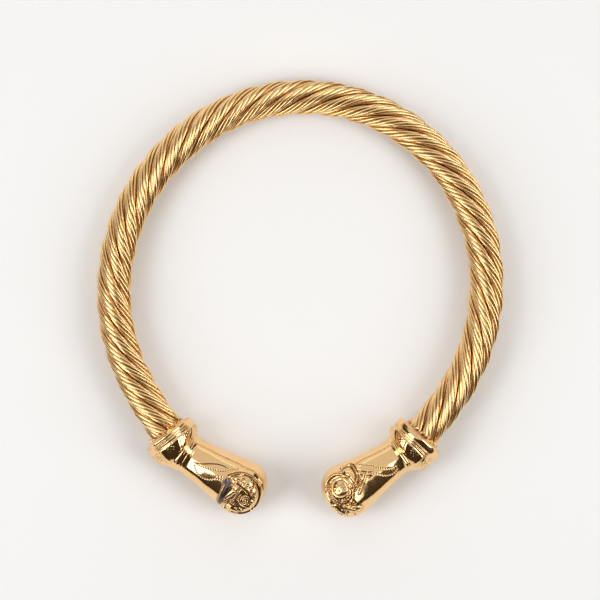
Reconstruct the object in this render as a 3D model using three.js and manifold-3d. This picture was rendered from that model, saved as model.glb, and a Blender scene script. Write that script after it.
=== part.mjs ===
// Gold torc: six strands twisted into a rope, bent to an open hoop, with a cast terminal on each end.
// Millimetres, +Z up. The torc lies flat with its mouth towards -Y, resting on both terminals and on
// the back of the hoop. The origin is under the middle of its outline, on the surface it lies on.
import * as THREE from "three";
import { mergeVertices } from "three/addons/utils/BufferGeometryUtils.js";
import Module from "manifold-3d";

const radians = THREE.MathUtils.degToRad;

// The hoop. Angles are in degrees about its centre: 0 towards +X, 90 at the back, both ends past the sides.
const hoopCentreY = 5.9; // the hoop's centre, seen from the middle of the outline
const hoopRadius = 87.4; // of the rope's centre line, before the bends made by hand
const hoopShift = { size: 1.0, towards: -98 };
const hoopOval = { size: 1.4, towards: 69.5 };
const leftEnd = { angle: 229.0, flareFrom: 210, flare: 0.78 }; // an end opens by flare for (10 degrees) squared
const rightEnd = { angle: -51.6, flareFrom: -35, flare: 0.56 };

// The rope: strands laid left-handed round nothing, each one twisted from finer wires.
const strandCount = 6;
const layRadius = 5.9; // from the rope's centre line to a strand's
const strandRadius = 2.4;
const strandSides = 8;
const strandSteps = 53;
const twistAtBack = 15; // degrees round the rope, from straight outwards towards +Z
const twistTurn = 7.34; // degrees of twist for each degree of hoop
const twistTighten = 18.8; // for (100 degrees of hoop) squared, and the next for their cube
const twistEase = -10.3;

// A terminal, measured along its own axis from the sharp rim of its collar.
const socketRadius = 8.8;
const socketDepth = 5.6; // from the rim
const strandEndGap = 1.7; // the ends are cut square to slanting strands
const collarOutline = [
  // [along, radius]: lip, rim, two cordons and the swelling band down to the neck
  [-1.3, 9.3],
  [-1.1, 10.3],
  [-0.3, 12.1],
  [0.4, 12.6],
  [1.5, 12.0],
  [2.3, 12.7],
  [3.0, 12.3],
  [3.8, 12.9],
  [4.6, 12.45],
  [6.2, 12.6],
  [8.2, 12.0],
  [10.2, 10.6],
  [11.9, 9.3],
];
const neckBand = { from: 12.2, to: 13.5, radius: 9.45 };
const bendFrom = 3.5; // the terminal's axis turns between these, from the rope's line to the tube's
const bendTo = 12;
const neckAlong = 14.3;
const tubeLength = 27; // from the neck to where the dome begins
const latheSides = 24;
// turn is in degrees, between the rope's line and the tube's; flarePower and fullness shape tube and dome
const leftBody = { turn: 21, neckRadius: 8.9, flarePower: 1.05, domeRadius: 13.1, domeLength: 10.9, fullness: 2.1 };
const rightBody = { turn: 13, neckRadius: 8.75, flarePower: 1.4, domeRadius: 12.9, domeLength: 12, fullness: 2.25 };

// The relief on the domes: places are past the neck and outwards from the axis, as seen from above.
const bossSides = 10;
const leftRelief = {
  bosses: [{ at: [31.2, 3.6], radius: 2.7, height: 0.9 }],
  ridges: [
    { through: arcThrough({ middle: [27.7, 2.4], radius: 9.2, from: 205, to: 380, count: 8 }), width: 1.3 },
    { through: arcThrough({ middle: [29.5, 5.3], radius: 6.2, from: 150, to: 240, count: 4 }), width: 1.0 },
  ],
  lobes: [
    { from: [20.2, -0.5], to: [21.2, 11], width: 3.6, height: 1.0 },
    { from: [24.6, 3.5], to: [23.6, 10.8], width: 2.6, height: 0.8 },
    { from: [26.5, 10.2], to: [31, 9.4], width: 3.2, height: 0.9 },
    { from: [34.5, 3], to: [32.8, 8.2], width: 3.4, height: 0.9 },
  ],
};
const rightRelief = {
  bosses: [{ at: [29.8, -2.4], radius: 6, height: 1.0 }],
  ridges: [
    {
      through: [
        [13.8, -1],
        [16.5, -3],
        [19, -6.5],
        [20.5, -9],
        [24, -10],
      ],
      width: 1.3,
    },
    { through: arcThrough({ middle: [27.8, -0.8], radius: 9.2, from: 128, to: 25, count: 6 }), width: 1.2 },
  ],
  lobes: [
    { from: [22.3, -7.8], to: [23.4, -1.2], width: 3.6, height: 0.8 },
    { from: [27.5, 9.6], to: [32, 6.8], width: 3.2, height: 0.9 },
    { from: [36.3, 2.9], to: [35, 7], width: 4, height: 1.2 },
    { from: [36.2, -4.5], to: [36.6, 1], width: 3.4, height: 1.0 },
  ],
};

// How the torc lies.
const backHeight = 8.3; // of the rope's centre line over the surface
const lieTilt = 1.47; // degrees: the terminals are thicker than the rope, so they lift the mouth
const terminalDroop = 0.75; // degrees from the hoop's plane, so that collar and dome both touch

const gold = { color: 0xd9a441, roughness: 0.28, metalness: 1 };
const polishedGold = { color: 0xe0a848, roughness: 0.12, metalness: 1 };

const wasm = await Module();
wasm.setup();

function hoopPoint(angle) {
  const flareLeft = Math.max(0, angle - leftEnd.flareFrom) / 10;
  const flareRight = Math.max(0, rightEnd.flareFrom - angle) / 10;
  const radius =
    hoopRadius +
    hoopShift.size * Math.cos(radians(angle - hoopShift.towards)) +
    hoopOval.size * Math.cos(2 * radians(angle - hoopOval.towards)) +
    leftEnd.flare * flareLeft ** 2 +
    rightEnd.flare * flareRight ** 2;
  return new THREE.Vector3(Math.cos(radians(angle)), Math.sin(radians(angle)), 0).multiplyScalar(radius);
}

// Unit direction along the hoop for a rising angle.
function hoopHeading(angle) {
  const step = 0.01;
  return hoopPoint(angle + step).sub(hoopPoint(angle - step)).normalize();
}

function ropeTwist(angle) {
  const x = (angle - 90) / 100;
  return twistAtBack + 100 * twistTurn * x + twistTighten * x ** 2 + twistEase * x ** 3;
}

// The degrees of hoop that a length along the rope takes near one end.
function degreesFor(length, angle) {
  return THREE.MathUtils.radToDeg(length / hoopPoint(angle).length());
}

class StrandLine extends THREE.Curve {
  constructor(number) {
    super();
    this.offset = (360 / strandCount) * number;
    const inside = socketDepth - strandEndGap;
    this.from = leftEnd.angle + degreesFor(inside, leftEnd.angle);
    this.to = rightEnd.angle - degreesFor(inside, rightEnd.angle);
  }

  getPoint(t, target = new THREE.Vector3()) {
    const angle = THREE.MathUtils.lerp(this.from, this.to, t);
    const around = radians(ropeTwist(angle) + this.offset);
    const heading = hoopHeading(angle);
    const outwards = new THREE.Vector3(heading.y, -heading.x, 0);
    target.copy(hoopPoint(angle)).addScaledVector(outwards, layRadius * Math.cos(around));
    target.z += layRadius * Math.sin(around);
    return target;
  }
}

function strandGeometry(number) {
  const section = new THREE.Shape();
  for (let i = 0; i < strandSides; i++) {
    const a = (2 * Math.PI * (i + 0.5)) / strandSides;
    const place = [strandRadius * Math.cos(a), strandRadius * Math.sin(a)];
    if (i === 0) section.moveTo(...place);
    else section.lineTo(...place);
  }
  section.closePath();
  return new THREE.ExtrudeGeometry(section, {
    steps: strandSteps,
    bevelEnabled: false,
    extrudePath: new StrandLine(number),
  });
}

// Radius of the tube and dome at a place along the terminal, past the neck.
function bodyRadius(body, along) {
  const past = along - neckAlong;
  const { neckRadius, flarePower, domeRadius, domeLength, fullness } = body;
  if (past <= tubeLength) return neckRadius + (domeRadius - neckRadius) * (past / tubeLength) ** flarePower;
  const out = Math.min(1, (past - tubeLength) / domeLength);
  return domeRadius * (1 - out ** fullness) ** (1 / fullness);
}

function terminalOutline(body) {
  const outline = [
    [socketDepth, 0],
    [socketDepth, socketRadius],
    [collarOutline[0][0], socketRadius],
    ...collarOutline,
    [neckBand.from, neckBand.radius],
    [neckBand.to, neckBand.radius],
  ];
  const tubeSteps = 4;
  for (let i = 0; i <= tubeSteps; i++) {
    const along = neckAlong + (tubeLength * i) / tubeSteps;
    outline.push([along, bodyRadius(body, along)]);
  }
  const domeSteps = 6;
  for (let i = 1; i <= domeSteps; i++) {
    const out = Math.sin((Math.PI / 2) * (i / domeSteps));
    const along = neckAlong + tubeLength + body.domeLength * out;
    outline.push([along, i === domeSteps ? 0 : bodyRadius(body, along)]);
  }
  return outline;
}

// One terminal's bent axis. It starts at the rim along +Y and bends about +Z, towards -X where outer is 1.
// Places round it are angles from +Z, rising towards the outside of the hoop, which is +X where outer is 1.
class TerminalAxis {
  constructor(body, outer) {
    this.body = body;
    this.turn = radians(outer * body.turn);
    this.outer = outer;
  }

  frame(along) {
    const bendLength = bendTo - bendFrom;
    const bent = THREE.MathUtils.clamp(along - bendFrom, 0, bendLength);
    const heading = (this.turn * bent) / bendLength;
    const radius = bendLength / this.turn;
    const place = new THREE.Vector3(radius * (Math.cos(heading) - 1), Math.min(along, bendFrom), 0);
    place.y += radius * Math.sin(heading);
    const forwards = new THREE.Vector3(-Math.sin(heading), Math.cos(heading), 0);
    place.addScaledVector(forwards, Math.max(0, along - bendTo));
    const sideways = new THREE.Vector3(Math.cos(heading), Math.sin(heading), 0);
    return { place, forwards, sideways };
  }

  // A point on the tube or dome.
  surface(along, around) {
    const { place, sideways } = this.frame(along);
    const radius = bodyRadius(this.body, along);
    place.addScaledVector(sideways, this.outer * radius * Math.sin(around));
    place.z += radius * Math.cos(around);
    return place;
  }

  normal(along, around) {
    const step = 0.05;
    const forwards = this.surface(along + step, around).sub(this.surface(along - step, around));
    const aside = this.surface(along, around + step).sub(this.surface(along, around - step));
    return forwards.cross(aside).multiplyScalar(-this.outer).normalize();
  }

  // A place on the body, given past the neck and outwards from the axis as seen from above.
  place([past, aside]) {
    const along = neckAlong + past;
    const around = Math.asin(aside / bodyRadius(this.body, along));
    return { point: this.surface(along, around), normal: this.normal(along, around) };
  }

  // Bends a form of revolution about +Y onto this axis.
  bend(geometry) {
    const position = geometry.attributes.position;
    for (let i = 0; i < position.count; i++) {
      const { place, sideways } = this.frame(position.getY(i));
      place.addScaledVector(sideways, position.getX(i));
      position.setXYZ(i, place.x, place.y, position.getZ(i));
    }
    return geometry;
  }
}

// A round boss with a sunk ring and a knob.
function bossGeometry(axis, { at, radius, height }) {
  const { point, normal } = axis.place(at);
  const rooted = -2.5;
  const profile = [
    [0, rooted],
    [radius, rooted],
    [radius, height * 0.35],
    [radius * 0.8, height * 0.9],
    [radius * 0.55, height * 0.75],
    [radius * 0.35, height],
    [0, height * 1.15],
  ].map(([x, y]) => new THREE.Vector2(x, y));
  const turn = new THREE.Quaternion().setFromUnitVectors(new THREE.Vector3(0, 1, 0), normal);
  return new THREE.LatheGeometry(profile, bossSides).applyQuaternion(turn).translate(...point.toArray());
}

// A raised line through some places.
function ridgeGeometry(axis, { through, width }) {
  const line = new THREE.CatmullRomCurve3(through.map((at) => axis.place(at).point));
  const section = new THREE.Shape();
  section.absarc(0, 0, width / 2, 0, 2 * Math.PI);
  const steps = 2 * (through.length - 1);
  return new THREE.ExtrudeGeometry(section, { steps, curveSegments: 3, bevelEnabled: false, extrudePath: line });
}

// A rounded lump, longest from one place to another.
function lobeGeometry(axis, { from, to, width, height }) {
  const middle = axis.place([(from[0] + to[0]) / 2, (from[1] + to[1]) / 2]);
  const across = axis.place(to).point.sub(axis.place(from).point);
  const length = across.length();
  const lengthwise = across.projectOnPlane(middle.normal).normalize();
  const basis = new THREE.Matrix4();
  basis.makeBasis(lengthwise, middle.normal.clone().cross(lengthwise), middle.normal);
  const lump = new THREE.SphereGeometry(1, 8, 6).rotateX(Math.PI / 2).scale(length / 2, width / 2, height);
  return lump.applyMatrix4(basis.setPosition(middle.point));
}

function arcThrough({ middle, radius, from, to, count }) {
  return Array.from({ length: count }, (_, i) => {
    const angle = radians(THREE.MathUtils.lerp(from, to, i / (count - 1)));
    return [middle[0] + radius * Math.cos(angle), middle[1] + radius * Math.sin(angle)];
  });
}

function solidOf(geometry) {
  const bare = geometry.clone();
  bare.deleteAttribute("normal");
  bare.deleteAttribute("uv");
  const merged = mergeVertices(bare, 1e-4);
  const whole = [];
  const index = merged.index.array;
  for (let i = 0; i < index.length; i += 3) {
    const [a, b, c] = index.slice(i, i + 3);
    if (a !== b && b !== c && c !== a) whole.push(a, b, c);
  }
  const vertProperties = merged.attributes.position.array;
  return new wasm.Manifold(new wasm.Mesh({ numProp: 3, vertProperties, triVerts: new Uint32Array(whole) }));
}

function geometryOf(solid) {
  const mesh = solid.getMesh();
  const geometry = new THREE.BufferGeometry();
  geometry.setAttribute("position", new THREE.BufferAttribute(mesh.vertProperties, 3));
  geometry.setIndex(new THREE.BufferAttribute(mesh.triVerts, 1));
  return geometry;
}

const torc = new THREE.Group();
torc.rotation.x = radians(-lieTilt);
const backY = hoopPoint(90).y;
torc.position.set(0, hoopCentreY, backHeight + backY * Math.sin(radians(lieTilt)));

for (let i = 0; i < strandCount; i++) {
  const strand = new THREE.Mesh(strandGeometry(i), new THREE.MeshStandardMaterial(gold));
  strand.name = `strand_${i + 1}`;
  torc.add(strand);
}

// Everything under the surface that the torc lies on, as the given mesh sees it.
function groundUnder(mesh) {
  const size = 300;
  const ground = new THREE.BoxGeometry(size, size, size).translate(0, 0, -size / 2);
  torc.updateMatrixWorld(true);
  return solidOf(ground.applyMatrix4(mesh.matrixWorld.clone().invert()));
}

function addTerminal(name, end, sense, body, relief) {
  const mesh = new THREE.Mesh(undefined, new THREE.MeshStandardMaterial(polishedGold));
  mesh.name = name;
  const heading = hoopHeading(end.angle).multiplyScalar(sense);
  mesh.position.copy(hoopPoint(end.angle));
  mesh.rotation.z = Math.atan2(-heading.x, heading.y);
  mesh.rotateX(radians(-terminalDroop));
  torc.add(mesh);
  const axis = new TerminalAxis(body, sense);
  const profile = terminalOutline(body).map(([along, radius]) => new THREE.Vector2(radius, along));
  let solid = solidOf(axis.bend(new THREE.LatheGeometry(profile, latheSides)));
  for (const boss of relief.bosses) solid = solid.add(solidOf(bossGeometry(axis, boss)));
  for (const ridge of relief.ridges) solid = solid.add(solidOf(ridgeGeometry(axis, ridge)));
  for (const lobe of relief.lobes) solid = solid.add(solidOf(lobeGeometry(axis, lobe)));
  mesh.geometry = geometryOf(solid.subtract(groundUnder(mesh)));
}
addTerminal("terminal_left", leftEnd, 1, leftBody, leftRelief);
addTerminal("terminal_right", rightEnd, -1, rightBody, rightRelief);

export default torc;
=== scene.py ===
# Gold torc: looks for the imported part. The six strands get their wires, the two terminals get their
# chased relief, and everything gets a gold finish. Sizes are in millimetres until a mesh is made.
import math

import bpy
import numpy as np
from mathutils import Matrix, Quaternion, Vector


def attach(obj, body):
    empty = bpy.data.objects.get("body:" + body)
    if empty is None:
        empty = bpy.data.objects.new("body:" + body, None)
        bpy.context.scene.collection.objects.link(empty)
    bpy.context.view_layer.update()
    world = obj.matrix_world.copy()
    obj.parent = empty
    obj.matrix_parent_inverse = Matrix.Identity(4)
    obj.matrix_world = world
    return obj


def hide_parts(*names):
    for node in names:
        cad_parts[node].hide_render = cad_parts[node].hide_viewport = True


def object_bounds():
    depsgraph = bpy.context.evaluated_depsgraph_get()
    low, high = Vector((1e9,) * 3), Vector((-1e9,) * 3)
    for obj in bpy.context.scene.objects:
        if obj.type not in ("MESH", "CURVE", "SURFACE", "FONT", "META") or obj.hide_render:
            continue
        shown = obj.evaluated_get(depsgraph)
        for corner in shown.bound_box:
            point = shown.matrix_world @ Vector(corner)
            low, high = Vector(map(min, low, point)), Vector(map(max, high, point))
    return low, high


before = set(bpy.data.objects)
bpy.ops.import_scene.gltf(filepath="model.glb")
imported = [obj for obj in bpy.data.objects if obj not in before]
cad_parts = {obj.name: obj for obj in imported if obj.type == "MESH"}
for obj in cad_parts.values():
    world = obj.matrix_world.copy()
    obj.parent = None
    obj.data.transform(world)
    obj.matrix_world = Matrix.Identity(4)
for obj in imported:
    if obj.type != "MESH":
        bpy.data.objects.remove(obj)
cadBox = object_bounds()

mm = 0.001  # the scene is in metres
chance = np.random.default_rng(7)

# The hoop, as the solids have it. Angles are in degrees, 90 at the back.
hoop = {
    "radius": 87.4,
    "shift": 1.0,  # how far off centre it is
    "shiftTowards": -98,
    "oval": 1.4,  # how far it is drawn out
    "ovalTowards": 69.5,
    "leftEnd": 229.0,
    "leftFlareFrom": 210,  # from here it opens towards its end
    "leftFlare": 0.78,
    "rightEnd": -51.6,
    "rightFlareFrom": -35,
    "rightFlare": 0.56,
    "centreY": 5.9,
    "backHeight": 8.3,  # of the rope's centre line
    "lieTilt": 1.47,  # degrees up towards the terminals
}


def hoopPoint(angle):
    angle = np.asarray(angle, float)
    radius = (
        hoop["radius"]
        + hoop["shift"] * np.cos(np.radians(angle - hoop["shiftTowards"]))
        + hoop["oval"] * np.cos(2 * np.radians(angle - hoop["ovalTowards"]))
        + hoop["leftFlare"] * (np.maximum(0, angle - hoop["leftFlareFrom"]) / 10) ** 2
        + hoop["rightFlare"] * (np.maximum(0, hoop["rightFlareFrom"] - angle) / 10) ** 2
    )
    turn = np.radians(angle)
    return np.stack([radius * np.cos(turn), radius * np.sin(turn), 0 * turn], -1)


def unit(vectors):
    return vectors / np.linalg.norm(vectors, axis=-1, keepdims=True)


def hoopHeading(angle):
    nearby = 0.01
    return unit(hoopPoint(np.asarray(angle) + nearby) - hoopPoint(np.asarray(angle) - nearby))


def lieDown(points):  # from the hoop's own plane to the way the torc lies
    tilt = math.radians(hoop["lieTilt"])
    x, y, z = points[..., 0], points[..., 1], points[..., 2]
    rise = hoop["backHeight"] + float(hoopPoint(90)[1]) * math.sin(tilt)
    lain = [x, y * math.cos(tilt) + z * math.sin(tilt) + hoop["centreY"],
            z * math.cos(tilt) - y * math.sin(tilt) + rise]
    return np.stack(lain, -1)


def smooth(low, high, value):  # 0 at low, 1 at high, eased
    t = np.clip((value - low) / (high - low), 0, 1)
    return t * t * (3 - 2 * t)


def tubeFaces(rings, sides, first=0):  # between rings of points, one after another
    here = first + sides * np.arange(rings - 1)[:, None] + np.arange(sides)
    after = np.roll(here, -1, 1)
    return np.stack([here, after, after + sides, here + sides], -1).reshape(-1, 4).tolist()


def meshPiece(name, points, faces, marks):
    # points are in millimetres in the hoop's plane, marks are numbers by point that a finish reads
    lain = lieDown(points)
    lain[:, 2] = np.maximum(lain[:, 2], 0)  # worn flat where it lies
    mesh = bpy.data.meshes.new(name)
    mesh.from_pydata((lain * mm).tolist(), [], faces)
    for mark, values in marks.items():
        layer = mesh.attributes.new(mark, "FLOAT", "POINT")
        layer.data.foreach_set("value", np.asarray(values, np.float32).ravel())
    mesh.polygons.foreach_set("use_smooth", [True] * len(mesh.polygons))
    mesh.update()
    piece = bpy.data.objects.new(name, mesh)
    bpy.context.scene.collection.objects.link(piece)
    return piece


class Shade:  # one socket of a finish, so that a finish can be written as sums
    def __init__(self, tree, socket=None):
        self.tree = tree
        self.socket = socket

    def make(self, kind, settings=None, inputs=None, output=0):
        node = self.tree.nodes.new("ShaderNode" + kind)
        for key, value in (settings or {}).items():
            setattr(node, key, value)
        for key, value in (inputs or {}).items():
            if isinstance(value, Shade):
                self.tree.links.new(value.socket, node.inputs[key])
            else:
                node.inputs[key].default_value = value
        return Shade(self.tree, node.outputs[output] if node.outputs else None)

    def sum(self, operation, first, second):
        return self.make("Math", {"operation": operation}, {0: first, 1: second})

    def __add__(self, other):
        return self.sum("ADD", self, other)

    __radd__ = __add__

    def __sub__(self, other):
        return self.sum("SUBTRACT", self, other)

    def __rsub__(self, other):
        return self.sum("SUBTRACT", other, self)

    def __mul__(self, other):
        return self.sum("MULTIPLY", self, other)

    __rmul__ = __mul__

    def clamped(self):
        return self.make("Clamp", {}, {0: self})

    def between(self, low, high):  # 0 at low, 1 at high, eased
        ends = {0: self, 1: low, 2: high}
        return self.make("MapRange", {"interpolation_type": "SMOOTHSTEP"}, ends)

    def tinted(self, first, second):  # from the first colour to the second, by this value
        first, second = (v if isinstance(v, Shade) else (*v, 1) for v in (first, second))
        # a Mix node's colours go into sockets 6 and 7 and come out of 2
        return self.make("Mix", {"data_type": "RGBA"}, {0: self, 6: first, 7: second}, 2)


def newFinish(name):
    finish = bpy.data.materials.new(name)
    finish.use_nodes = True
    tree = finish.node_tree
    tree.nodes.clear()
    return finish, Shade(tree)


def markOf(start, name):  # the numbers that a mesh carries under this name
    return start.make("Attribute", {"attribute_name": name}, {}, "Fac")


def speckle(start, scale, detail):
    place = start.make("TexCoord", {}, {}, "Object")
    return start.make("TexNoise", {}, {"Vector": place, "Scale": scale, "Detail": detail})


def closeFinish(start, inputs):
    surface = start.make("BsdfPrincipled", {}, inputs)
    start.make("OutputMaterial", {}, {"Surface": surface})


def closeMetal(start, look, colour, rough, grain):
    height = {"Strength": look["grainStrength"], "Distance": look["grainDepth"] * mm, "Height": grain}
    bump = start.make("Bump", {}, height)
    closeFinish(start, {"Base Color": colour, "Metallic": 1.0, "Roughness": rough, "Normal": bump})


studio = {
    "floor": (0.93, 0.93, 0.925),
    "floorMottle": 1.02,  # how much brighter its palest spots are
    "floorGrain": 9,
    "floorRoughness": 0.8,
    "floorReach": 6000,
    "worldLight": 0.05,
    "worldTint": (1.0, 0.7, 0.45),
    "viewWidth": 277.6,  # across the picture, at the torc
    "viewLift": 0.9,  # the torc's middle over the picture's
    "cameraHeight": 1400,
    "sensor": 36,
    "seesTo": 20000,
    # azimuth, angle from straight up, roll, distance, width and height, brightness, seen in the gold
    "lights": {
        "leftSoftbox": (196, 50, 26, 1300, (640, 1300), 3.6, True),
        "rightSoftbox": (-15, 50, -26, 1300, (600, 1250), 3.6, True),
        "skyPanel": (90, 30, 0, 1500, (3000, 2500), 0.68, True),
        "backPanel": (90, 78, 0, 1700, (3000, 700), 0.8, True),
        "floorFill": (0, 0, 0, 2200, (2200, 2200), 0.13, False),
    },
}


def aimAt(thing, target, roll=0):
    turn = (Vector(target) - thing.location).to_track_quat("-Z", "Y")
    thing.rotation_euler = (turn @ Quaternion((0, 0, 1), math.radians(roll))).to_euler()


def setStudio():
    middle = (Vector(cadBox[0]) + Vector(cadBox[1])) / 2
    reach = studio["floorReach"] * mm
    mesh = bpy.data.meshes.new("floor")
    corners = [(-reach, -reach, 0), (reach, -reach, 0), (reach, reach, 0), (-reach, reach, 0)]
    mesh.from_pydata(corners, [], [(0, 1, 2, 3)])
    floor = bpy.data.objects.new("floor", mesh)
    bpy.context.scene.collection.objects.link(floor)
    finish, start = newFinish("floorPaper")
    grain = start.make("TexNoise", {}, {"Scale": studio["floorGrain"], "Detail": 2})
    paler = tuple(min(1, v * studio["floorMottle"]) for v in studio["floor"])
    paper = grain.tinted(studio["floor"], paler)
    closeFinish(start, {"Base Color": paper, "Roughness": studio["floorRoughness"]})
    mesh.materials.append(finish)

    world = bpy.data.worlds.new("studioAir")
    bpy.context.scene.world = world
    world.use_nodes = True
    sky = world.node_tree.nodes["Background"]
    sky.inputs["Color"].default_value = (*studio["worldTint"], 1)
    sky.inputs["Strength"].default_value = studio["worldLight"]

    for name, light in studio["lights"].items():
        azimuth, fromTop, roll, distance, (wide, high), brightness, shines = light
        azimuth, fromTop = math.radians(azimuth), math.radians(fromTop)
        across = math.sin(fromTop)
        place = (across * math.cos(azimuth), across * math.sin(azimuth), math.cos(fromTop))
        lamp = bpy.data.lights.new(name, "AREA")
        lamp.shape = "RECTANGLE"
        lamp.size = wide * mm
        lamp.size_y = high * mm
        lamp.energy = brightness * math.pi * lamp.size * lamp.size_y
        panel = bpy.data.objects.new(name, lamp)
        panel.location = Vector(place) * distance * mm
        panel.visible_glossy = shines
        bpy.context.scene.collection.objects.link(panel)
        aimAt(panel, (0, 0, 0), roll)

    lens = bpy.data.cameras.new("camera")
    lens.sensor_width = studio["sensor"]
    lens.lens = lens.sensor_width * studio["cameraHeight"] / studio["viewWidth"]
    lens.clip_end = studio["seesTo"] * mm
    camera = bpy.data.objects.new("camera", lens)
    camera.location = middle + Vector((0, -studio["viewLift"], studio["cameraHeight"])) * mm
    bpy.context.scene.collection.objects.link(camera)
    bpy.context.scene.camera = camera
    bpy.context.scene.view_settings.view_transform = "Standard"
    print("studio: floor, %d lights and the camera" % len(studio["lights"]))


setStudio()

# The rope: six strands, each of eight wires. A stray is how far something wanders from true, and over
# what length of rope.
rope = {
    "strands": 6,
    "layRadius": 5.6,  # rope's centre line to a strand's
    "wires": 8,
    "wireRing": 1.88,  # strand's centre line to a wire's
    "wireRadius": 0.71,
    "wireTurn": 78,  # length of rope for one turn of the wires in their strand
    "wireStart": 0.4,  # radians between one strand's wires and the next strand's
    "wireSteps": 420,
    "wireSides": 10,
    "twist": (15, 7.34, 18.8, -10.3),  # degrees at the back, then how fast they turn, tighten and ease
    "insideSocket": 3.6,  # how far the wires go into a terminal
    "layStray": (0.012, 90),
    "reachStray": (0.03, 60),
    "ringStray": (0.05, 35),
    "turnStray": (0.03, 50),
    "gaugeStray": (0.012, 25),
}


def ropeTwist(angle):
    x = (angle - 90) / 100
    atBack, turn, tighten, ease = rope["twist"]
    return atBack + 100 * turn * x + tighten * x**2 + ease * x**3


def wander(along, size, wave):  # a slow, seeded drift along the rope
    drift = np.zeros_like(along)
    for octave in range(3):
        phase, stretch = chance.uniform(0, 2 * math.pi), chance.uniform(0.8, 1.25)
        drift += np.sin(2 * math.pi * along * stretch * 2**octave / wave + phase) / 2**octave
    return size * drift


def strandCentres(number, angle, along):
    around = np.radians(ropeTwist(angle) + 360 / rope["strands"] * number)
    around = around + wander(along, *rope["layStray"])
    heading = hoopHeading(angle)
    outwards = np.stack([heading[:, 1], -heading[:, 0], 0 * angle], -1)
    up = np.array([0, 0, 1.0])
    spoke = outwards * np.cos(around)[:, None] + up * np.sin(around)[:, None]
    reach = rope["layRadius"] + wander(along, *rope["reachStray"])
    return hoopPoint(angle) + spoke * reach[:, None], spoke


def strandPiece(number):
    inside = math.degrees(rope["insideSocket"] / hoop["radius"])
    angle = np.linspace(hoop["leftEnd"] + inside, hoop["rightEnd"] - inside, rope["wireSteps"])
    along = np.radians(angle[0] - angle) * hoop["radius"]
    centres, spoke = strandCentres(number, angle, along)
    tangent = unit(np.gradient(centres, axis=0))
    side = unit(np.cross(tangent, spoke))
    spoke = np.cross(side, tangent)
    steps, sides = rope["wireSteps"], rope["wireSides"]
    circle = 2 * math.pi * np.arange(sides) / sides
    points, faces, crest, out, tone = [], [], [], [], []
    for wire in range(rope["wires"]):
        turn = 2 * math.pi * (wire / rope["wires"] - along / rope["wireTurn"]) + rope["wireStart"] * number
        ring = rope["wireRing"] + wander(along, *rope["ringStray"])
        turn = turn + wander(along, *rope["turnStray"])
        away = spoke * np.cos(turn)[:, None] + side * np.sin(turn)[:, None]
        middle = centres + away * ring[:, None]
        forwards = unit(np.gradient(middle, axis=0))
        first = unit(away - forwards * (away * forwards).sum(1, keepdims=True))
        second = np.cross(forwards, first)
        radius = rope["wireRadius"] * (1 + wander(along, *rope["gaugeStray"]))
        around = first[:, None] * np.cos(circle)[:, None] + second[:, None] * np.sin(circle)[:, None]
        skin = middle[:, None] + around * radius[:, None, None]
        points.append(skin.reshape(-1, 3))
        crest.append((around * away[:, None]).sum(2))  # 1 on the wire's back, 0 where it meets the next
        out.append(np.repeat((away * spoke).sum(1)[:, None], sides, 1))  # 1 where the strand's back is
        tone.append(np.full(skin.shape[:2], chance.uniform(0, 1)))
        base, end = wire * steps * sides, (wire + 1) * steps * sides
        faces += tubeFaces(steps, sides, base)
        faces += [tuple(range(base, base + sides))[::-1], tuple(range(end - sides, end))]
    marks = {"crest": np.concatenate(crest), "out": np.concatenate(out), "tone": np.concatenate(tone)}
    name = "strand_%d_wires" % (number + 1)
    piece = meshPiece(name, np.concatenate(points), faces, marks)
    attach(piece, "root")
    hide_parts("strand_%d" % (number + 1))
    return piece


strands = [strandPiece(number) for number in range(rope["strands"])]
print("rope: %d strands of %d wires" % (rope["strands"], rope["wires"]))

wireFinish = {
    "pale": (1.0, 0.69, 0.33),  # where it is rubbed and out of the painted shade
    "deep": (0.40, 0.17, 0.04),  # painted shade between the wires
    "litAndRubbedOnCrest": (-0.05, 0.5),  # where the painted shade gives way to rubbed gold, and where that is full, on a wire's back
    "litAndRubbedOnStrand": (-0.5, 0.3),  # and on the strand's
    "litAndRubbedShare": 0.85,  # of the way from the painted shade to pale; clouds and each wire's own tone add to it
    "cloudShare": 0.2,
    "toneShare": 0.1,
    "roughness": 0.17,
    "deepRoughness": 0.2,  # these two are added to it
    "grainRoughness": 0.06,
    "cloudScale": 60,
    "grainScale": 1400,
    "grainStrength": 0.12,
    "grainDepth": 0.1,
}


def wireGold():
    look = wireFinish
    finish, start = newFinish("wireGold")
    crest, out, tone = (markOf(start, name) for name in ("crest", "out", "tone"))
    cloud = speckle(start, look["cloudScale"], 4)
    grain = speckle(start, look["grainScale"], 3)
    # painted shade: darker between the wires and on each strand's inner side, pale on the rubbed backs
    litAndRubbed = crest.between(*look["litAndRubbedOnCrest"]) * out.between(*look["litAndRubbedOnStrand"])
    wearAndShade = litAndRubbed * look["litAndRubbedShare"] + cloud * look["cloudShare"] + tone * look["toneShare"]
    rough = look["roughness"] + (1 - litAndRubbed) * look["deepRoughness"] + grain * look["grainRoughness"]
    colour = wearAndShade.clamped().tinted(look["deep"], look["pale"])
    closeMetal(start, look, colour, rough.clamped(), grain)
    return finish


ropeGold = wireGold()
for strand in strands:
    strand.data.materials.append(ropeGold)

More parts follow.
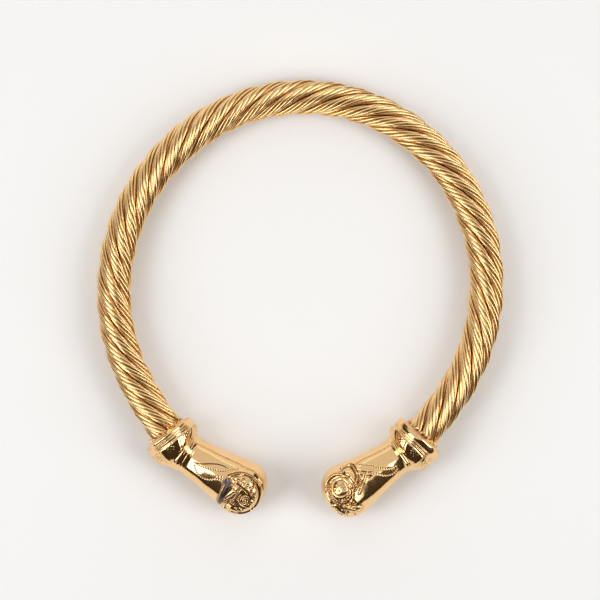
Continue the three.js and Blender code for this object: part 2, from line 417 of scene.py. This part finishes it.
# The terminals: collar, flared tube and chased dome, along each one's own bent axis
terminal = {
    "neckAlong": 14.3,  # from the end of the hoop
    "tubeLength": 27,
    "bendFrom": 3.5,
    "bendTo": 12,
    "droop": 0.75,  # degrees down from the hoop's plane
    "collarMesh": (130, 288, 0.2),  # rows, columns, how much closer the columns stand on top
    "bodyMesh": (222, 380, 0.45),
    "tubeRows": 96,  # of the body's rows
    "domeFrom": 17,  # past the neck, where the rows start to follow the dome
    "underCollar": (-1.2, -0.5),  # past the neck, the body's first two rows
    "hollowByEdge": 7,  # how strongly creases and hollows darken, as patina and painted shade
    "hollowByDepth": 2.2,
    "backSwell": 0.5,  # how far the top of the tube stands out
    "backRises": (-1.2, 8.5),  # past the neck
    "backFalls": (25, 10),  # gone, and still full
    "bodyWaves": [(0.08, 13), (0.012, 4)],  # height and length
    "collarWaves": [(0.03, 5)],
    "solderWaves": [(0.5, 2.6), (0.4, 1.3)],
    "solderWithin": (9.6, 8.9),  # radius
    "ringsFrom": 11.9,  # radius from which the collar's rings show handwork
    "handwork": 0.05,
    "left": {
        "turn": 21,  # degrees towards the other terminal
        "neck": 8.9,
        "flare": 1.05,  # the higher, the later the tube opens
        "dome": 13.1,
        "domeLength": 10.9,
        "fullness": 2.1,  # 2 makes half an ellipse, more a squarer dome
        "ovolo": (2.4, 9.2),  # from and to, along the axis
        "collar": [  # along, radius, from the solder on the rope to the neck
            (0.5, 4.0), (-1.5, 6.9), (-2.9, 7.7), (-3.4, 8.05), (-3.5, 8.3), (-3.3, 8.55),
            (-2.9, 8.75), (-2.7, 9.1), (-2.66, 9.6), (-2.45, 10.4), (-2.1, 11.2), (-1.75, 11.9),
            (-1.3, 12.35), (-0.85, 12.5), (-0.45, 12.45), (-0.15, 12.25), (0.1, 12.25), (0.4, 12.55),
            (0.65, 12.65), (0.9, 12.45), (1.1, 12.4), (1.4, 12.65), (1.75, 12.75), (2.1, 12.5),
            (2.35, 12.4), (2.8, 12.6), (3.6, 12.65), (4.6, 12.4), (5.8, 12.0), (7.0, 11.4),
            (8.0, 10.75), (8.8, 10.1), (9.2, 9.85), (9.45, 10.0), (9.7, 10.1), (9.95, 9.9),
            (10.2, 9.7), (10.7, 9.75), (11.2, 9.6), (11.6, 9.3), (11.9, 9.3), (12.2, 9.38),
            (12.5, 9.15), (13.2, 9.0), (13.9, 8.96), (14.2, 8.7), (14.4, 8.0),
        ],
    },
    "right": {
        "turn": 13,
        "neck": 8.75,
        "flare": 1.4,
        "dome": 12.9,
        "domeLength": 12,
        "fullness": 2.25,
        "ovolo": (5.6, 11.2),
        "collar": [
            (2.4, 4.0), (0.2, 6.9), (-1.4, 7.7), (-2.0, 8.0), (-2.15, 8.25), (-1.95, 8.5),
            (-1.4, 8.7), (-1.0, 8.95), (-0.92, 9.4), (-0.9, 9.9), (-0.75, 10.8), (-0.55, 11.7),
            (-0.25, 12.3), (0.15, 12.62), (0.7, 12.72), (1.5, 12.75), (2.3, 12.68), (2.8, 12.5),
            (3.1, 12.38), (3.35, 12.6), (3.65, 12.78), (3.95, 12.6), (4.2, 12.42), (4.5, 12.6),
            (4.85, 12.82), (5.15, 12.65), (5.4, 12.45), (5.7, 12.6), (6.4, 12.62), (7.4, 12.35),
            (8.4, 11.9), (9.4, 11.3), (10.2, 10.7), (10.9, 10.05), (11.25, 9.7), (11.45, 9.8),
            (11.7, 9.95), (11.95, 9.75), (12.15, 9.5), (12.45, 9.6), (12.8, 9.7), (13.1, 9.45),
            (13.4, 9.1), (13.9, 8.82), (14.2, 8.6), (14.4, 8.0),
        ],
    },
}


def bodyRadius(body, past):
    tube = np.clip(past / terminal["tubeLength"], 0, 1)
    flared = body["neck"] + (body["dome"] - body["neck"]) * tube ** body["flare"]
    out = np.clip((past - terminal["tubeLength"]) / body["domeLength"], 0, 1)
    return flared * (1 - out ** body["fullness"]) ** (1 / body["fullness"])


def evenly(outline, count):  # places at even steps along an outline
    lengths = np.concatenate([[0], np.cumsum(np.linalg.norm(np.diff(outline, axis=0), axis=1))])
    wanted = np.linspace(0, lengths[-1], count)
    return np.stack([np.interp(wanted, lengths, outline[:, k]) for k in range(2)], 1)


def curveThrough(places, steps=12):  # a smooth line through the given places
    places = np.asarray(places, float)
    ends = np.concatenate([[2 * places[0] - places[1]], places, [2 * places[-1] - places[-2]]])
    t = (np.arange(steps) / steps)[:, None]
    pieces = []
    for p0, p1, p2, p3 in zip(ends, ends[1:], ends[2:], ends[3:]):
        bow = 2 * p1 + (p2 - p0) * t + (2 * p0 - 5 * p1 + 4 * p2 - p3) * t**2
        bow = bow + (3 * p1 - p0 - 3 * p2 + p3) * t**3
        pieces.append(bow / 2)
    return np.concatenate(pieces + [places[-1:]])


def collarRows(body):  # along and radius of every ring of points
    return evenly(curveThrough(body["collar"]), terminal["collarMesh"][0])


def bodyRows(body):
    neck, domeFrom, domeEnd = terminal["neckAlong"], terminal["domeFrom"], terminal["tubeLength"]
    rows, tubeRows = terminal["bodyMesh"][0], terminal["tubeRows"]
    first, second = terminal["underCollar"]
    past = np.concatenate([[first], np.linspace(second, domeFrom, tubeRows - 1, endpoint=False)])
    tube = np.stack([neck + past, bodyRadius(body, past)], 1)
    turn = np.linspace(0, math.pi / 2, 400)  # close enough to be spaced out evenly
    fine = np.concatenate([
        np.linspace(domeFrom, domeEnd, 200, endpoint=False),
        domeEnd + body["domeLength"] * np.sin(turn),
    ])
    rounded = evenly(np.stack([neck + fine, bodyRadius(body, fine)], 1), rows - tubeRows + 1)
    return np.concatenate([tube, rounded[:-1]])


def bentPlace(body, sense, along, radius, around):  # a place round the bent axis
    bend = terminal["bendTo"] - terminal["bendFrom"]
    turn = math.radians(sense * body["turn"])
    heading = turn * np.clip(along - terminal["bendFrom"], 0, bend) / bend
    x = bend / turn * (np.cos(heading) - 1)
    y = np.minimum(along, terminal["bendFrom"]) + bend / turn * np.sin(heading)
    on = np.maximum(0, along - terminal["bendTo"])
    aside = sense * radius * np.sin(around)
    x = x - np.sin(heading) * on + np.cos(heading) * aside
    y = y + np.cos(heading) * on + np.sin(heading) * aside
    return np.stack([x, y, radius * np.cos(around)], -1)


def ontoHoop(points, end, sense):  # from the terminal's own axes to the hoop's plane
    droop = math.radians(terminal["droop"])
    x, y, z = points[..., 0], points[..., 1], points[..., 2]
    y, z = y * math.cos(droop) + z * math.sin(droop), z * math.cos(droop) - y * math.sin(droop)
    hx, hy = (hoopHeading(end) * sense)[:2]
    turned = np.stack([x * hy + y * hx, -x * hx + y * hy, z], -1)
    return turned + hoopPoint(end)


# Chasing on the terminals. A place is (past the neck, outwards from the axis) as seen from above, and a
# third number of -1 puts it on the underside.
def bell(distance, reach):
    t = np.clip(distance / reach, 0, 1)
    return (1 - t * t) ** 2


def dome(distance, reach):
    return np.sqrt(np.clip(1 - (distance / reach) ** 2, 0, 1))


def arcPlaces(middle, radius, start, stop, count):  # 0 degrees towards the tip, 90 outwards
    turn = np.radians(np.linspace(start, stop, count))
    return [(middle[0] + radius * math.cos(t), middle[1] + radius * math.sin(t)) for t in turn]


class Chaser:  # works a terminal's skin, held as places round a straight axis
    def __init__(self, body, along, radius, around):
        self.body = body
        self.along, self.radius, self.around = along, radius, around
        past = along - terminal["neckAlong"]
        self.skin = np.stack([radius * np.sin(around), past, radius * np.cos(around)], -1)
        self.onTop = self.skin[..., 2] > 0
        self.height = np.zeros_like(along)
        self.tarnish = np.zeros_like(along)
        self.matt = np.zeros_like(along)

    def spot(self, place):
        past, aside = place[:2]
        face = place[2] if len(place) > 2 else 1
        radius = float(bodyRadius(self.body, past))
        aside = max(-radius * 0.995, min(radius * 0.995, aside))  # not off the edge
        return np.array([aside, past, face * math.sqrt(radius**2 - aside**2)])

    def toSpot(self, spot):
        return np.linalg.norm(self.skin - spot, axis=-1)

    def toSpots(self, spots):  # to the nearest of the lines from each spot to the next
        nearest = self.toSpot(spots[-1])
        for first, second in zip(spots, spots[1:]):
            step = second - first
            t = ((self.skin - first) @ step) / max(step @ step, 1e-9)
            gap = self.skin - first - np.clip(t, 0, 1)[..., None] * step
            nearest = np.minimum(nearest, np.linalg.norm(gap, axis=-1))
        return nearest

    def toLine(self, places):
        return self.toSpots([self.spot(place) for place in places])

    def ridge(self, places, width, height):
        self.height += height * bell(self.toLine(curveThrough(places, 4)), width / 2)

    def edgeLine(self, places, width, height):  # a ridge with a groove on both sides
        away = self.toLine(curveThrough(places, 4))
        self.height += height * bell(away, width / 2)
        self.height -= 0.6 * height * bell(np.abs(away - width * 0.75), width * 0.4)

    def swell(self, places, width, height):
        self.height += height * dome(self.toLine(curveThrough(places, 3)), width / 2)

    def pellet(self, place, radius, height):  # a bead with a groove round it
        away = self.toSpot(self.spot(place))
        self.height += height * dome(away, radius)
        self.height -= 0.5 * height * bell(np.abs(away - radius * 1.25), radius * 0.5)

    def ring(self, place, radius, width, height):
        self.height += height * bell(np.abs(self.toSpot(self.spot(place)) - radius), width / 2)

    def pelletRow(self, places, count, radius, height):
        for past, aside in evenly(curveThrough(places, 8), count):
            self.pellet((past, aside), radius, height)

    def dotRow(self, places, count, radius=0.42, depth=0.55):
        for past, aside in evenly(curveThrough(places, 8), count):
            self.height -= depth * bell(self.toSpot(self.spot((past, aside))), radius)

    def hatch(self, places, reach, step, depth, turn):  # crossed fine lines inside an area
        inside = smooth(0, 0.8, reach - self.toLine(places)) * self.onTop
        for angle in np.radians((turn, turn + 75)):
            across = self.skin[..., 1] * math.cos(angle) + self.skin[..., 0] * math.sin(angle)
            self.height -= depth * inside * (0.5 + 0.5 * np.cos(2 * math.pi * across / step)) ** 2

    def matten(self, places, full, fades, amount):  # a matt ground, full within one distance
        self.matt += amount * smooth(fades, full, self.toLine(places)) * self.onTop


def chaseLeft(work):
    medallion = (27.7, 2.4)
    # smooth forms
    work.swell([(20.9, -0.4), (21.0, 4), (21.6, 8.5), (22.2, 11.4)], 3.6, 0.75)
    work.swell([(24.4, 3.6), (23.6, 7), (23.4, 10.6)], 2.8, 0.7)
    work.swell([(26.6, 10.4), (29, 10.3), (31, 9.2)], 3.2, 0.7)
    work.swell([(34.4, 3.2), (33.8, 6), (32.8, 8.2)], 3.4, 0.7)
    work.swell([(22.6, -3.6), (25, -4.8), (28.5, -4.6), (31.5, -3.2), (33.8, -0.6)], 3.6, 0.45)
    work.swell([(31.2, 3.6), (31.3, 3.7)], 5.4, 0.6)
    # the border of the medallion
    border = arcPlaces(medallion, 9.2, 205, 380, 22)
    work.edgeLine(border, 1.0, 0.5)
    work.edgeLine(arcPlaces(medallion, 9.3, 380, 445, 8), 1.2, 0.45)
    work.ridge(arcPlaces(medallion, 10.9, 290, 322, 6), 1.0, 0.3)
    # upper edge of the crest band, a groove below it, and the lower band's edge
    crest = [(18.9, -1.2), (19.5, 0.6), (19.8, 3), (20.2, 6), (20.9, 9), (21.6, 11.4)]
    work.ridge(crest, 1.3, 0.6)
    work.ridge([(22.6, 1.4), (22.7, 4), (22.5, 7), (22.6, 10.6)], 0.9, -0.7)
    work.ridge([(25.6, 2.8), (24.6, 4.6), (23.5, 6.6), (22.6, 9.8)], 0.8, -0.55)
    work.edgeLine([(24.2, -5.6), (23, -4.6), (21.6, -3.2), (20.2, -1.2)], 0.7, 0.35)
    # stem, arc and roundel
    work.edgeLine([(25, -4.6), (26.1, -2.6), (26.5, -0.8), (26.1, 2.2)], 0.6, 0.4)
    work.ridge([(24, -0.8), (27, -0.6), (30, 0), (32, 1), (33.4, 3), (33.1, 4.8)], 1.0, -0.6)
    roundel = (31.3, 3.6)
    work.pellet(roundel, 0.45, 0.35)
    for radius, height in ((0.75, -0.3), (1.15, 0.35), (1.6, -0.35), (2.05, 0.4), (2.6, -0.3)):
        work.ring(roundel, radius, 0.55, height)
    work.ridge(arcPlaces(roundel, 3.1, 20, 200, 10), 0.6, 0.35)
    # four short strokes over the roundel
    for stroke in range(4):
        aside = 2.5 + 0.85 * stroke
        work.edgeLine([(26.3, aside), (28.5, aside + 0.5)], 0.5, 0.42)
    # ring-and-pellet marks along the inner border
    ringed = [(24, -2.3), (25.4, -3.8), (28.6, -2.5), (30.9, -2.8), (32.4, -0.4), (34.6, 0.3), (22.9, 1.9)]
    plain = [(27.1, -4.6), (29.4, -4.9), (31.6, -4.3), (33.4, -2.6), (35.2, -1.2), (34.9, 2.2), (35.1, 4.4)]
    for place in ringed:
        work.pellet(place, 0.42, 0.4)
        work.ring(place, 0.95, 0.4, 0.22)
    for place in plain:
        work.pellet(place, 0.3, 0.25)
    # matted grounds
    work.hatch([(25.5, 7), (25.6, 9)], 2.4, 0.85, 0.16, 30)
    work.hatch([(28.6, 8.2), (31, 8.8)], 2.3, 0.75, 0.18, 10)
    work.ridge([(29.6, 11.6), (31.4, 10.9), (33, 9.8)], 1.0, -0.5)
    work.pellet((24.8, 11.9), 0.85, 0.7)
    work.matten([(28, 6.6), (30.6, 4.4)], 3.2, 5.2, 0.5)
    work.matten([medallion], 7.6, 8.8, 0.18)
    # tube: a crease and punched dots that taper into a tendril
    work.ridge([(3, 1.2), (6, 0), (9, -1.9), (12, -3.5), (15, -4.3), (17.4, -4.4)], 0.7, -0.3)
    work.dotRow([(3.2, 2.6), (6, 4.6), (9.2, 5), (12.4, 4), (14.6, 2.4), (17, 1.6)], 15)
    work.dotRow([(2.6, 1.4), (6, 1.2), (9, 0.4), (12, -0.7), (15.4, -2), (18.4, -4.9), (20.8, -6.8)], 19)
    work.dotRow([(14.2, 1.6), (15.6, 0.7), (16.4, 0.4)], 3)
    work.dotRow([(21.9, -8.6), (23.3, -9.2), (24.6, -8.8)], 4, 0.4, 0.2)
    # the dark stain behind the crest band
    stained = work.toLine([(18.6, 1.6), (20.4, 0.4), (21.6, 3), (21.6, 7), (21.3, 10)])
    work.tarnish += 1.1 * bell(stained, 2.1)


def chaseRight(work):
    boss = (29.5, -2.6)
    work.swell([boss, (29.6, -2.5)], 12, 0.9)
    work.swell([(22.6, -7.4), (22.6, -4.4), (23.6, -1.6)], 4.2, 0.8)
    work.swell([(27.5, 9.8), (30, 8.8), (32, 6.8)], 3.4, 0.7)
    work.swell([(36.3, 2.9), (35.4, 7)], 3.8, 1.0)
    work.swell([(36.2, -4.5), (37, -2), (37.2, 1)], 3.2, 0.7)
    work.swell([(14.4, -0.8), (17, -0.6), (19.4, 0.4)], 3.0, 0.35)
    # inner border line and the ridge over the crescent
    border = [(24.2, -5.2), (25.4, -7.2), (27, -8.7), (29.6, -9.4), (32, -9), (34.2, -7.8), (35.4, -6)]
    crescent = [(24, -10), (20.6, -9.4), (19.5, -8), (19.5, -5.4), (20.1, -3), (22, -1.2), (24.2, -0.6)]
    work.edgeLine(border, 1.0, 0.5)
    work.edgeLine(crescent, 1.0, 0.45)
    # the trumpet stem: a sharp crease and its raised flank
    work.ridge([(13.6, -0.8), (16.2, -2.8), (18.6, -5.6)], 0.7, -0.4)
    work.ridge([(14.2, 0), (17, -1.8), (19.4, -4.4)], 1.1, 0.4)
    work.edgeLine([(16.4, -1.4), (18.6, 0.2), (21.4, 2.2), (24, 4)], 0.8, 0.4)
    work.pelletRow([(19.8, -0.6), (22, 0.5), (24.4, 1.7)], 6, 0.45, 0.42)
    work.pelletRow([(19.6, 0.8), (21.6, 1.8), (23.6, 3)], 5, 0.36, 0.36)
    # the boss: an engraved circle with rows of strokes, inside raised arcs
    circle = (29.4, -3)
    work.ring(circle, 3.4, 0.6, -0.42)
    work.ring(circle, 4.1, 0.5, 0.25)
    work.edgeLine(arcPlaces((29.3, -2.6), 5.6, 60, 300, 18), 0.8, 0.42)
    for row in range(3):
        for stroke in range(4):
            aside = -4.4 + 0.85 * stroke + 0.2 * row
            past = 26.5 + 0.95 * row
            work.ridge([(past, aside), (past + 0.5, aside + 0.3)], 0.42, -0.3)
    for place in ((30.2, -4.4), (30.4, -2.2), (31.8, -3.5)):
        work.pellet(place, 0.34, 0.22)
    work.edgeLine([(25.4, 0.6), (26.8, 3), (28.8, 4.6), (31, 5), (33.2, 4.2)], 0.9, 0.55)
    work.edgeLine([(26.4, 0.2), (27.6, 2), (29.4, 3.3), (31.4, 3.5), (33, 2.6)], 0.7, 0.4)
    work.pelletRow([(27.4, 0.6), (29, 1.9), (31, 2.1), (32.8, 1.2)], 6, 0.36, 0.35)
    # a fan of strokes, its hollow and the line that closes it
    root = np.array((32.2, 5.6))
    for stroke in range(5):
        turn = math.radians(132 + 15 * stroke)
        reach = (4.6 - 0.25 * abs(stroke - 2)) * np.array((math.cos(turn), math.sin(turn)))
        work.edgeLine([root + 0.3 * reach, root + reach], 0.55, 0.42)
    work.ridge([(32.4, 5.9), (32.9, 8.4)], 1.5, -0.55)
    work.edgeLine([(33, 4.4), (33.9, 6.4), (34.4, 9)], 0.7, 0.45)
    work.height -= 0.4 * bell(work.toSpot(work.spot((30.9, 11))), 0.8)
    work.pelletRow([(33.4, -7.8), (34.8, -5), (35.4, -2), (35, 1), (34.3, 3.2)], 12, 0.38, 0.34)
    work.pelletRow([(36, 4), (36.4, 5.6), (35.6, 7)], 4, 0.42, 0.35)
    work.pelletRow([(37.3, 3.4), (37.2, 5)], 3, 0.4, 0.3)
    work.matten([(31.8, 1), (34, -1), (33, 5)], 2.4, 4.4, 0.4)
    work.matten([(22, 2), (26, 4.4)], 2.6, 4.2, 0.3)
    # tube: two dotted lines that open from the collar
    work.dotRow([(2.6, 3), (5, 2.6), (8.6, 0.6), (12, -3.4), (14.4, -5.3), (17, -7.6)], 18)
    work.dotRow([(2.8, 4.4), (6, 5), (9.5, 3.5), (11, 2), (12.6, 0.6), (14.2, -0.4)], 13)
    work.dotRow([(3, 5.6), (4.4, 5.8)], 3)


def chaseUnder(work):  # plainer: a band, and pellets between two rings
    middle = (29.4, 0, -1)
    work.ring(middle, 8.6, 1.0, 0.4)
    work.ring(middle, 4.6, 0.8, 0.35)
    band = [(20.6, aside, -1) for aside in np.linspace(-10.6, 10.6, 14)]
    work.edgeLine(band, 1.2, 0.4)
    for past, aside in arcPlaces(middle, 6.6, 30, 330, 11):  # none towards the tip
        work.pellet((past, aside, -1), 0.6, 0.4)


def chaseCollar(work):
    outline = curveThrough(work.body["collar"])
    outer = outline[outline[:, 1] > 9]  # without its mouth round the rope
    start, stop = work.body["ovolo"]

    def spotOn(share, turn):  # a place on the ovolo, share 0 to 1 down it
        on = start + share * (stop - start)
        reach = float(np.interp(on, outer[:, 0], outer[:, 1]))
        angle = math.radians(turn)
        return np.array([reach * math.sin(angle), on - terminal["neckAlong"], reach * math.cos(angle)])

    # eight groups of punched dots, with a low leaning lobe between each two
    inThrees, inTwos = (-9, 0, 9), (-5, 5)
    dotRows = {0.12: inThrees, 0.24: inTwos, 0.36: inThrees, 0.5: inTwos}
    lobe = [(0.12, -3), (0.4, 0), (0.62, 4), (0.8, 10)]
    for group in range(8):
        turn = 45 * group + 14
        for share, asides in dotRows.items():
            for aside in asides:
                work.height -= 0.3 * bell(work.toSpot(spotOn(share, turn + aside)), 0.4)
        lobeSpots = [spotOn(share, turn + 22.5 + lean) for share, lean in lobe]
        work.height += 0.22 * bell(work.toSpots(lobeSpots), 1.3)
    # rings worked by hand, and lumps of solder over the ends of the wires
    along, around = work.along, work.around
    rings = (work.radius > terminal["ringsFrom"]) * terminal["handwork"]
    work.height += rings * (np.sin(5 * around + 1.3 * along) + 0.6 * np.sin(9 * around - along))
    solder = smooth(*terminal["solderWithin"], work.radius) * (along < start)
    work.height += solder * np.clip(ripples(work.skin, terminal["solderWaves"]), -0.5, 0.9)


def ripple(places, wave):  # seeded waves in six directions, about -1 to 1
    total = np.zeros(places.shape[:-1])
    for _ in range(6):
        heading = chance.normal(size=3)
        heading /= np.linalg.norm(heading)
        length = wave * chance.uniform(0.7, 1.4)
        total += np.sin(2 * math.pi * (places @ heading) / length + chance.uniform(0, 6.28))
    return total / 2.6


def ripples(places, waves):
    return sum(height * ripple(places, wave) for height, wave in waves)


def blurred(values):
    for _ in range(6):
        beside = np.roll(values, 1, 0) + np.roll(values, -1, 0)
        beside = beside + np.roll(values, 2, 1) + np.roll(values, -2, 1)
        values = (values + beside) / 5
    return values


def reliefOf(side, part, along, radius, around):
    work = Chaser(terminal[side], along, radius, around)
    if part == "collar":
        chaseCollar(work)
        waves = ripples(work.skin, terminal["collarWaves"])
    else:
        chaseSide = chaseLeft if side == "left" else chaseRight
        chaseSide(work)
        chaseUnder(work)
        past = along - terminal["neckAlong"]
        back = smooth(*terminal["backRises"], past) * smooth(*terminal["backFalls"], past)
        back = terminal["backSwell"] * back * np.clip(np.cos(around), 0, 1)
        waves = back + ripples(work.skin, terminal["bodyWaves"])
    # the hollow mark darkens creases, punched dots, recesses and matted grounds: patina in them, and
    # painted shade
    edges = terminal["hollowByEdge"] * (blurred(work.height) - work.height)
    depths = terminal["hollowByDepth"] * np.minimum(0, work.height)
    hollow = np.clip(edges - depths + work.matt, -0.5, 1)
    return work.height + waves, {"hollow": hollow, "tarnish": work.tarnish}


def terminalPiece(side, part):
    body = terminal[side]
    sense, end = (1, hoop["leftEnd"]) if side == "left" else (-1, hoop["rightEnd"])
    rows = collarRows(body) if part == "collar" else bodyRows(body)
    columns, gather = terminal[part + "Mesh"][1:]
    t = np.linspace(-math.pi, math.pi, columns, endpoint=False)
    around = np.repeat((t - gather * np.sin(t))[None, :], len(rows), 0)
    along = np.repeat(rows[:, :1], columns, 1)
    radius = np.repeat(rows[:, 1:], columns, 1)
    skin = bentPlace(body, sense, along, radius, around)
    onRow = np.gradient(skin, axis=0)
    onRing = np.roll(skin, -1, 1) - np.roll(skin, 1, 1)
    outwards = unit(np.cross(onRow, onRing)) * -sense
    height, marks = reliefOf(side, part, along, radius, around)
    skin = skin + outwards * height[..., None]
    tip = terminal["neckAlong"] + terminal["tubeLength"] + body["domeLength"]
    closings = (rows[0, 0], rows[-1, 0] if part == "collar" else tip)
    middles = np.stack([bentPlace(body, sense, on, 0, 0) for on in closings])
    points = np.concatenate([skin.reshape(-1, 3), middles])
    faces = [(a, d, c, b) for a, b, c, d in tubeFaces(len(rows), columns)]
    last = (len(rows) - 1) * columns
    for k in range(columns):
        after = (k + 1) % columns
        faces.append((k, after, len(points) - 2))
        faces.append((last + after, last + k, len(points) - 1))
    if sense < 0:
        faces = [face[::-1] for face in faces]
    marks = {name: np.concatenate([value.ravel(), [0, 0]]) for name, value in marks.items()}
    piece = meshPiece("terminal_%s_%s" % (side, part), ontoHoop(points, end, sense), faces, marks)
    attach(piece, "root")
    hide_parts("terminal_" + side)
    return piece


castFinish = {
    "gold": (0.98, 0.69, 0.37),
    "warm": (0.94, 0.58, 0.24),  # in clouds over it
    # patina and painted shade in creases and hollows
    "hollow": (0.12, 0.045, 0.012),
    "tarnish": (0.15, 0.115, 0.13),
    "tarnishLeast": 0.55,  # and clouds add to it
    "tarnishByCloud": 0.9,
    "hollowShare": 0.95,
    "roughness": 0.08,
    "cloudRoughness": 0.05,  # these three are added to it
    "hollowRoughness": 0.25,
    "tarnishRoughness": 0.2,
    "cloudScale": 90,
    "grainScale": 1500,
    "grainStrength": 0.05,
    "grainDepth": 0.1,
}


def castGold():
    look = castFinish
    finish, start = newFinish("castGold")
    cloud = speckle(start, look["cloudScale"], 3)
    grain = speckle(start, look["grainScale"], 3)
    hollow = markOf(start, "hollow").clamped()
    stained = (markOf(start, "tarnish") * (cloud * look["tarnishByCloud"] + look["tarnishLeast"])).clamped()
    colour = cloud.tinted(look["gold"], look["warm"])
    # patina and painted shade in the creases and hollows
    colour = (hollow * look["hollowShare"]).tinted(colour, look["hollow"])
    colour = stained.tinted(colour, look["tarnish"])
    rough = look["roughness"] + cloud * look["cloudRoughness"] + hollow * look["hollowRoughness"]
    rough = rough + stained * look["tarnishRoughness"]
    closeMetal(start, look, colour, rough.clamped(), grain)
    return finish


polishedGold = castGold()
for side in ("left", "right"):
    for part in ("collar", "body"):
        made = terminalPiece(side, part)
        made.data.materials.append(polishedGold)
    print("terminal %s: collar and chased body" % side)
